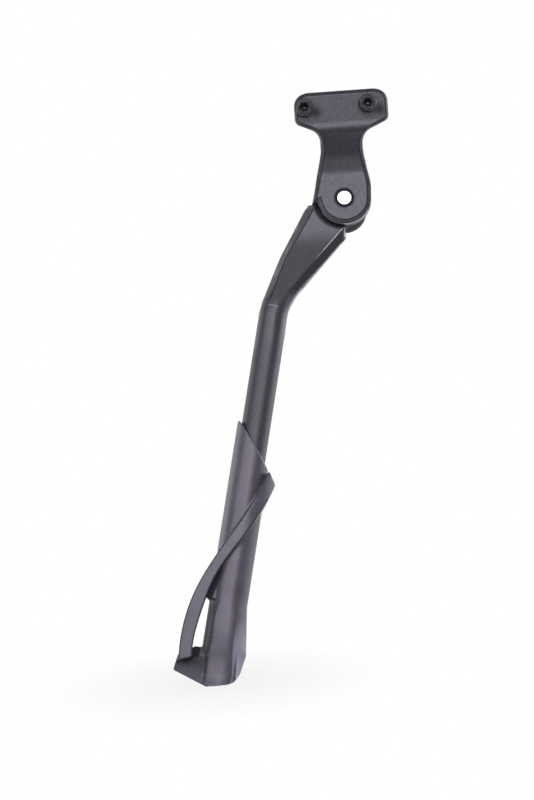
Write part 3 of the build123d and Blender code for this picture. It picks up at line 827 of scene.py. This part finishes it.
# The painted highlight fades out down the leg.
for vert, rim in zip(leg.data.vertices, leg.data.attributes["rim"].data):
    rim.value *= share((TO_PIVOT @ vert.co).y, *RIM_FADES)
lighten_contour(leg.data)
round_over(leg.data, side_corners, SIDE_ROUNDING, SIDE_TAKEN)
soften_knee(leg)
write_mark(leg.data, "dull", darkening_levels(leg.data))
write_mark(leg.data, "nick", nicks(leg.data))
leg_paint = satin_paint("leg_paint", LEG_PAINT_LIGHT, LEG_SPECKLING)
dress(leg, leg_paint, "leg", "black_alloy", "leg")

# Return spring: close-wound zinc-plated wire, with an eye at each end hooked on a steel post.
# It pulls across the pivot, so it holds the leg both when it is down and when it is up.
WIRE_R = 0.75 * MM
COIL_R = 3.2 * MM
COIL_START = 8.75 * MM
COIL_GAP = 0.12 * MM
COIL_STEPS = 20
WIRE_SIDES = 10
HOOK_EYE_R = 3.45 * MM
EYE_STEPS = 28
BEND_STEPS = 6
SPRING_PLACE = Vector(frame["joints"][1]["pos_m"])
ZINC_DARK = (0.42, 0.43, 0.45, 1)
ZINC_LIGHT = (0.60, 0.61, 0.63, 1)
ZINC_ROUGHNESS = 0.28
ZINC_CLOUD = 1.8 * MM
ZINC_DEPTH = 0.03 * MM


def zinc_plate():
    """Zinc plating: pale grey with a soft, slightly cloudy shine."""
    material, sockets, start = new_finish("zinc_plate", Metallic=1.0)
    cloud = noise(place_on_piece(start), ZINC_CLOUD)
    tone = cloud.rise(0.3, 0.7)
    start.feed(sockets["Base Color"], tone.blend(ZINC_DARK, ZINC_LIGHT))
    start.feed(sockets["Roughness"], ZINC_ROUGHNESS + cloud * 0.18)
    start.feed(sockets["Normal"], bump(cloud, ZINC_DEPTH, strength=0.5))
    return material


def spring_tree(material):
    """Wire along the hooks that come in and along a coil between them. X runs from eye to eye."""
    tree, given = geometry_tree(
        "wound_spring", ("Wire radius", "Coil radius", "Turns", "Start", "Length")
    )
    start = Shade(tree)
    coil = coil_curve(start, COIL_STEPS, given["Coil radius"], given["Turns"], given["Length"])
    where = start.node("ShaderNodeCombineXYZ", sockets={"X": given["Start"]})
    laid = start.node(
        "GeometryNodeTransform",
        sockets={"Geometry": coil, "Translation": where, "Rotation": (0, pi / 2, 0)},
    )
    hooks = start.node("GeometryNodeMeshToCurve", sockets={0: given["Geometry"]})
    lines = start.node("GeometryNodeJoinGeometry")
    for line in (laid, hooks):
        lines.feed(lines.output.node.inputs[0], line)
    wire = swept(start, lines, WIRE_SIDES, given["Wire radius"])
    end_tree(start.node("GeometryNodeSetShadeSmooth", sockets={0: wire}), material)
    return tree


def hook_line():
    """The wire's middle line, once round the post and then out to the coil's first turn."""
    turns = [2 * pi * step / EYE_STEPS for step in range(2, EYE_STEPS + 1)]
    eye = [Vector((cos(turn), sin(turn), 0)) * HOOK_EYE_R for turn in turns]
    reach = COIL_START - HOOK_EYE_R
    bend = []
    for step in range(1, BEND_STEPS + 1):
        gone = step / BEND_STEPS
        bend.append(Vector((HOOK_EYE_R + reach * gone, 0, -COIL_R * gone ** 2)))
    return eye + bend


zinc = zinc_plate()
paint_nodes(bolt_black, "bracket_spring_post", "leg_spring_post")
to_far_post = middle_of("leg_spring_post") - SPRING_PLACE
to_far_post -= PIVOT_AXIS * to_far_post.dot(PIVOT_AXIS)
eye_to_eye = to_far_post.length
lengthwise = to_far_post.normalized()
crosswise = PIVOT_AXIS.cross(lengthwise)
spring_frame = Matrix((lengthwise, crosswise, PIVOT_AXIS)).transposed().to_4x4()
spring_frame.translation = SPRING_PLACE
coil_length = eye_to_eye - 2 * COIL_START
coil_turns = round(coil_length / (2 * WIRE_R + COIL_GAP)) + 0.5
hook = hook_line()
far_hook = [Vector((eye_to_eye - point.x, -point.y, -point.z)) for point in hook]
wires = bmesh.new()
for path in (hook, far_hook):
    verts = [wires.verts.new(point) for point in path]
    for start, end in zip(verts, verts[1:]):
        wires.edges.new((start, end))
spring = put_in_scene("spring_wire", new_mesh("spring_wire", wires))
spring_sizes = {"Wire radius": WIRE_R, "Coil radius": COIL_R, "Turns": coil_turns,
                "Start": COIL_START, "Length": coil_length}
run_tree(spring, spring_tree(zinc), spring_sizes)
spring.data.transform(spring_frame)
dress(spring, zinc, "spring", "bright_steel", "return_spring")

# Foot: a sleeve moulded in grey-black plastic that slides on the leg, with a slanted mouth,
# a strap from its rear side round to the toe, and a flared base. A set screw locks it.
FOOT_VOXEL = 0.6 * MM
FOOT_SOFTENING = 4
FOOT_RIM = 0.9 * MM
FOOT_CREASE = 1.1 * MM
FOOT_DOWN = Vector(frame["joints"][2]["axis"])
FOOT_SIDE = PIVOT_AXIS.cross(FOOT_DOWN)
SLEEVE_R = 11.8 * MM
SLEEVE_PART = 40 * MM
# Places and sizes without MM are in millimetres in the foot's own frame
WEB_REAR = (
    (-10.4, -2, 90.0), (-11.5, -2, 97.5), (-14.6, -2, 111), (-13, -2, 113), (-10.4, -2, 113.5),
)
WEB_FRONT = (
    (-8.0, 8.4, 90.0), (-11.5, 9.6, 97.5), (-14.6, 9.6, 111), (-13, 9.6, 113), (-8.0, 8.4, 113.5),
)
BORE_R = 10.0
BORE_END = 141.0
MOUTH_LOWEST = 40.0
STRAP_REACH = 12.8
STRAP_LOWEST = 154.0
STRAP_INNER = 10.65
STRAP_BOW = 120.4
BASE_TOP = 116.0
BASE_FULL = 140.0
BASE_DEPTH = 12.8
BASE_LEFT = -8.4
CROWN = 2.4
CROWN_MIDDLE = 1.0
CROWN_HALF = 9.0
WAIST = 2.2
WAIST_STARTS = (128, 156)
WAIST_EASES = (160, 170)
WAIST_EASED = 0.35
TOE_RIGHT = -13.0
TOE_SLOPE = 0.297
TOE_ROOT = 6.9
TOE_RECEDES = 0.22
TOE_BLENDS = 1.5
STRAP_LEAN = 0.243
STRAP_PASSES = (-9.3, 98.3)
WEB_DEPTHS = (2, 11)
WEB_HEIGHTS = (88, 114.5)
WEB_BESIDE = (-1, 4.5)
WEB_DARKENS = (88, 104)
WEB_FADES = (0.5, 4.5)
WINDOW_SIDES = (-13, -4)
WINDOW_REAR = -10
WINDOW_LOOKS_LEFT = 0.4
WINDOW_DARKNESS = 0.42
WINDOW_STARTS = (108, 118)
WINDOW_ENDS = (152, 146)
CORNER_SIDES = (-20, -12.5)
CORNER_FRONT = 9
CORNER_HEIGHTS = (138, 153)
CORNER_DARKNESS = 0.8
CORNER_ENDS = (153, 147)
TOE_SHADE_RIGHT = -6
TOE_LOOKS_LEFT = 0.1
TOE_DARKNESS = 0.45
TOE_STARTS = (144, 150)
TOE_LIGHTENS = (152, 166)
TOE_LIGHTENED = 0.15
PLASTIC_DEEP = (0.062, 0.056, 0.077, 1)
PLASTIC_LIGHT = (0.103, 0.093, 0.125, 1)
PLASTIC_RIM_HIGHLIGHT = (0.120, 0.110, 0.143, 1)
PLASTIC_SHADE = (0.010, 0.009, 0.011, 1)
# A painted highlight on the base's right side
PLASTIC_SIDE_HIGHLIGHT = (0.33, 0.30, 0.42, 1)
SIDE_HIGHLIGHT_SPAN = (118, 142)
SIDE_HIGHLIGHT_LOOKS_SIDEWAYS = (0.6, 0.88)
PLASTIC_ROUGHNESS = 0.33
GRAIN_SIZE = 0.5 * MM
GRAIN_DEPTH = 0.05 * MM
FLOW_SIZE = 9.0 * MM
BRASS_LIGHT = (0.66, 0.49, 0.20, 1)
BRASS_DARK = (0.48, 0.34, 0.13, 1)
BRASS_ROUGHNESS = 0.3


def moulded_plastic():
    """Glass-filled plastic: a fine even grain, faint flow clouds, painted highlights, and painted shade in inner
    corners.
    """
    material, sockets, start = new_finish(
        "foot_plastic", Specular_Tint=SHEEN_TINT, Specular_IOR_Level=SHEEN_LEVEL
    )
    place = place_on_piece(start)
    grain = noise(place, GRAIN_SIZE, detail=2.0, roughness=0.5)
    flow = noise(place, FLOW_SIZE, roughness=0.55)
    # Inner corners and hollows get painted shade: near-black and rough.
    crease = frayed(mark(start, "crease"), grain, gain=1.5, loss=0.5, full=0.6)
    body = (grain * 0.35 + flow * 0.65).rise(0.3, 0.7)
    rim_highlighted = mark(start, "rim").blend(body.blend(PLASTIC_DEEP, PLASTIC_LIGHT), PLASTIC_RIM_HIGHLIGHT)
    # The base's right side gets a painted highlight.
    side_highlighted = mark(start, "pale").blend(rim_highlighted, PLASTIC_SIDE_HIGHLIGHT)
    start.feed(sockets["Base Color"], crease.blend(side_highlighted, PLASTIC_SHADE))
    start.feed(sockets["Roughness"], PLASTIC_ROUGHNESS + grain * 0.08 + crease * 0.5)
    start.feed(sockets["Normal"], bump(grain, GRAIN_DEPTH, strength=0.5))
    return material


def foot_frame():
    """The foot's own frame: X right, Y out to the front, Z down the leg from the sleeve's top."""
    made = Matrix((FOOT_SIDE, PIVOT_AXIS, FOOT_DOWN)).transposed().to_4x4()
    top = span("foot", FOOT_DOWN)[0]
    rear = min(vert.co.dot(PIVOT_AXIS) for vert in frame["nodes"]["foot"].data.vertices
               if vert.co.dot(FOOT_DOWN) < top + SLEEVE_PART)
    side = middle_of("foot_screw_insert").dot(FOOT_SIDE)
    made.translation = made.to_3x3() @ Vector((side, rear + SLEEVE_R, top))
    return made


FOOT_FRAME = foot_frame()
TO_FOOT = FOOT_FRAME.inverted()


def on_foot(vert):
    """A point's place on the foot, in millimetres."""
    return (TO_FOOT @ vert.co) / MM


def on_strap(x, y, z):
    """Whether a place is on the strap, which stands out from the sleeve and the toe's wall."""
    clear = Vector((x, y)).length > STRAP_REACH and (z < BASE_TOP or x < TOE_RIGHT)
    return clear and z < STRAP_LOWEST and y > STRAP_INNER - x * x / STRAP_BOW


def strap_edge(edge):
    """The strap's corners, inner and outer, which get painted shade."""
    bent = abs(edge.calc_face_angle_signed()) > EDGE_ANGLE
    return bent and on_strap(*on_foot(edge.verts[0]))


# The mouth's sharp edge gets a painted highlight.
def mouth_edge(edge):
    place = on_foot(edge.verts[0])
    return sharp(edge) and place.z < MOUTH_LOWEST and place.xy.length < STRAP_REACH


def add_web(joined):
    """Adds the web that joins the strap to the sleeve above the window."""
    rings = [[joined.verts.new(FOOT_FRAME @ (Vector(corner) * MM)) for corner in corners]
             for corners in (WEB_REAR, WEB_FRONT)]
    faces = [joined.faces.new(ring) for ring in rings]
    for index in range(len(WEB_REAR)):
        low, high = ((ring[index - 1], ring[index]) for ring in rings)
        faces.append(joined.faces.new((*low, *reversed(high))))
    bmesh.ops.recalc_face_normals(joined, faces=faces)
    joined.normal_update()
    return joined


def depth_kept(x, y, z):
    """How much depth in front of the leg is kept, as the base is crowned and the toe recedes."""
    if on_strap(x, y, z):
        return 1.0
    crown = CROWN * min(abs(x - CROWN_MIDDLE) / CROWN_HALF, 1) ** 2
    waist = WAIST * share(z, *WAIST_STARTS) * (1 - WAIST_EASED * share(z, *WAIST_EASES))
    base = 1 - (crown + waist) / BASE_DEPTH
    wall = TOE_ROOT + TOE_RECEDES * (x - BASE_LEFT)
    toe = min(wall / (BASE_DEPTH + TOE_SLOPE * x), 1)
    shaped = base + (toe - base) * share(x, BASE_LEFT + TOE_BLENDS, BASE_LEFT - TOE_BLENDS)
    return 1 + (shaped - 1) * share(z, BASE_TOP, BASE_FULL)


def shape_base(skin):
    """Shapes the front of the base and the toe, and keeps the sole level with the ground."""
    for vert in skin.vertices:
        x, y, z = on_foot(vert)
        in_bore = z < BORE_END and Vector((x, y)).length < BORE_R
        if y > 0 and not in_bore:
            vert.co = FOOT_FRAME @ (Vector((x, y * depth_kept(x, y, z), z)) * MM)
        vert.co.z = max(vert.co.z, cad_box[0].z)


def between(value, limits):
    low, high = limits
    return low < value < high


def web_shade(x, y, z):
    """How dark the web's hollow under the strap's edge is."""
    beside = x - STRAP_PASSES[0] + (z - STRAP_PASSES[1]) * STRAP_LEAN
    inside = between(y, WEB_DEPTHS) and between(z, WEB_HEIGHTS) and between(beside, WEB_BESIDE)
    return inside * share(z, *WEB_DARKENS) * (1 - share(beside, *WEB_FADES))


def corner_shade(x, y, z):
    """How dark the corner between the window's sill and the strap's end is."""
    inside = between(x, CORNER_SIDES) and y < CORNER_FRONT and between(z, CORNER_HEIGHTS)
    return inside * CORNER_DARKNESS * share(z, *CORNER_ENDS)


def window_shade(x, y, z, left):
    """How dark the sleeve's wall beside the window is."""
    inside = between(x, WINDOW_SIDES) and y > WINDOW_REAR and left > WINDOW_LOOKS_LEFT
    return inside * WINDOW_DARKNESS * share(z, *WINDOW_STARTS) * share(z, *WINDOW_ENDS)


def toe_shade(x, y, z, left):
    """How dark the toe's wall is, most of all just below the strap."""
    inside = x < TOE_SHADE_RIGHT and y > 0 and left > TOE_LOOKS_LEFT
    darkness = TOE_DARKNESS - TOE_LIGHTENED * share(z, *TOE_LIGHTENS)
    return inside * share(z, *TOE_STARTS) * darkness


def shade_foot(skin):
    """Darkens the web, the window's corner and, off the strap, the walls that look left."""
    for vert, crease in zip(skin.vertices, skin.attributes["crease"].data):
        x, y, z = on_foot(vert)
        left = -vert.normal.dot(FOOT_SIDE)
        shades = [web_shade(x, y, z), corner_shade(x, y, z)]
        if not on_strap(x, y, z):
            shades += [window_shade(x, y, z, left), toe_shade(x, y, z, left)]
        crease.value = max(crease.value, *shades)


def painted_side_highlight(skin):
    """How strong the painted highlight on each point of the base's right side is."""
    levels = []
    for vert in skin.vertices:
        sideways = vert.normal.dot(FOOT_SIDE)
        levels.append(share(on_foot(vert).z, *SIDE_HIGHLIGHT_SPAN) * share(sideways, *SIDE_HIGHLIGHT_LOOKS_SIDEWAYS))
    return levels


foot = soft_skin(
    "foot", add_web(merged_copy("foot")), FOOT_VOXEL, FOOT_SOFTENING,
    rim=(mouth_edge, FOOT_RIM), crease=(strap_edge, FOOT_CREASE),
)
shape_base(foot.data)
shade_foot(foot.data)
write_mark(foot.data, "pale", painted_side_highlight(foot.data))
dress(foot, moulded_plastic(), "foot", "foot_plastic", "foot")
insert_brass = turned_metal(
    "insert_brass", BRASS_LIGHT, BRASS_DARK, BRASS_ROUGHNESS, middle_of("foot_screw_insert")
)
paint_nodes(insert_brass, "foot_screw_insert")
paint_nodes(bolt_black, "foot_set_screw")

# Studio: a plain pale floor under the sole, soft lamps in front and at the right, a white room
# behind and beside the stand, and the camera at the height of the knee.
FLOOR_HALF = 2.2
FLOOR_GREY = (0.3, 0.3, 0.3, 1)
FLOOR_ROUGHNESS = 0.9
SHADE_NEAR = 0.02
SHADE_FAR = 0.11
SHADE_KEPT = 0.13
BEHIND_START = 0.03
BEHIND_SPREAD = 0.06
MIRRORED_NEAR = 0.5
MIRRORED_FAR = 1.2
RAMP_REACH = 2.0
ROOM_WALLS = ((0.27, 0.06), (0.42, 0.5), (0.55, 1.0))
ROOM_CEILING = ((0.25, 1.0), (0.75, 0.3))
CAMERA_AIM = Vector((-0.05649, -0.02783, -0.18092))
CAMERA_DISTANCE = 1.4
CAMERA_ELEVATION = radians(5)
CAMERA_ROLL = radians(4.1)
CAMERA_LENS = 100.33
# Each lamp's azimuth and elevation in degrees and its distance, its width and height, its power
LAMPS = {
    "front_softbox": ((-12, 30, 1.6), (2.6, 1.25), 25.0),
    "front_strip": ((9, 30, 1.6), (0.4, 1.2), 2.8),
    "right_softbox": ((118, 5, 1.6), (1.5, 1.3), 14.5),
    "left_softbox": ((-112, 5, 1.6), (1.0, 0.9), 3.2),
}

scene = bpy.context.scene
scene.view_settings.view_transform = "Standard"
middle = (cad_box[0] + cad_box[1]) / 2
sole = Vector(frame["record"]["mounts"][1]["pos_m"])


def light_path(start):
    """Whether the camera, a reflection or something clear sees a surface, by name."""
    path = start.node("ShaderNodeLightPath").output.node.outputs
    return {name: Shade(start.tree, path[f"Is {name} Ray"])
            for name in ("Camera", "Glossy", "Transmission")}


def pale_floor():
    """White to the camera but for shade round the foot, and to reflections away from the stand."""
    material, sockets, start = new_finish(
        "pale_floor", Roughness=FLOOR_ROUGHNESS, Specular_IOR_Level=0.0
    )
    sockets["Base Color"].default_value = FLOOR_GREY
    place = place_on_piece(start)
    away = start.node("ShaderNodeVectorMath", {"operation": "LENGTH"}, {0: place}, "Value")
    white_seen = away.ramp((SHADE_NEAR, 1 - SHADE_KEPT), (SHADE_FAR, 1.0))
    behind = start.node("ShaderNodeSeparateXYZ", sockets={0: place}, output="Y")
    shrunk = away * (1 / RAMP_REACH)
    white_far = shrunk.rise(MIRRORED_NEAR / RAMP_REACH, MIRRORED_FAR / RAMP_REACH)
    white_behind = (behind + BEHIND_START).rise(0.0, BEHIND_SPREAD)
    white_mirrored = start.maths("MAXIMUM", white_far, white_behind)
    path = light_path(start)
    white = start.maths("MAXIMUM", path["Camera"] * white_seen, path["Glossy"] * white_mirrored)
    glow = start.node("ShaderNodeEmission", sockets={"Strength": 1.0})
    lit = Shade(start.tree, start.tree.nodes["Principled BSDF"].outputs[0])
    mixed = start.node("ShaderNodeMixShader", sockets={0: white, 1: lit, 2: glow})
    start.feed(start.tree.nodes["Material Output"].inputs["Surface"], mixed)
    return material


def studio_world():
    """White to the camera, and to reflections a white room, darker to the front and the top."""
    world = bpy.data.worlds.new("studio")
    world.use_nodes = True
    start = Shade(world.node_tree)
    direction = start.node("ShaderNodeTexCoord", output="Generated")
    depth = start.node("ShaderNodeSeparateXYZ", sockets={0: direction}, output="Y")
    height = Shade(start.tree, depth.output.node.outputs["Z"])
    room = (depth * 0.5 + 0.5).ramp(*ROOM_WALLS) * height.ramp(*ROOM_CEILING)
    path = light_path(start)
    shown = start.maths("MAXIMUM", path["Camera"], path["Transmission"])
    back = world.node_tree.nodes["Background"]
    start.feed(back.inputs["Color"], shown.blend(room, (1, 1, 1, 1)))
    start.feed(back.inputs["Strength"], 1.0)
    return world


floor_mesh = bpy.data.meshes.new("floor")
quarters = ((-1, -1), (1, -1), (1, 1), (-1, 1))
corners = [(x * FLOOR_HALF, y * FLOOR_HALF, 0) for x, y in quarters]
floor_mesh.from_pydata(corners, [], [range(len(corners))])
floor = put_in_scene("floor", floor_mesh)
floor.location = (sole.x, sole.y, cad_box[0].z)
floor.data.materials.append(pale_floor())
scene.world = studio_world()

for name, ((azimuth, elevation, distance), size, power) in LAMPS.items():
    lamp = bpy.data.lights.new(name, "AREA")
    lamp.shape = "RECTANGLE"
    lamp.size, lamp.size_y = size
    lamp.energy = power
    round_to, up_to = radians(azimuth), radians(elevation)
    toward = Vector((sin(round_to) * cos(up_to), -cos(round_to) * cos(up_to), sin(up_to)))
    holder = bpy.data.objects.new(name, lamp)
    scene.collection.objects.link(holder)
    holder.location = middle + toward * distance
    holder.rotation_euler = (-toward).to_track_quat("-Z", "Y").to_euler()
    holder.visible_camera = False

back = Vector((0, -cos(CAMERA_ELEVATION), sin(CAMERA_ELEVATION)))
upright = back.cross(SIDEWAYS)
right = SIDEWAYS * cos(CAMERA_ROLL) - upright * sin(CAMERA_ROLL)
up = SIDEWAYS * sin(CAMERA_ROLL) + upright * cos(CAMERA_ROLL)
lens = bpy.data.cameras.new("camera")
lens.lens = CAMERA_LENS
camera = bpy.data.objects.new("camera", lens)
scene.collection.objects.link(camera)
camera.matrix_world = Matrix((right, up, back)).transposed().to_4x4()
camera.location = CAMERA_AIM + back * CAMERA_DISTANCE
scene.camera = camera
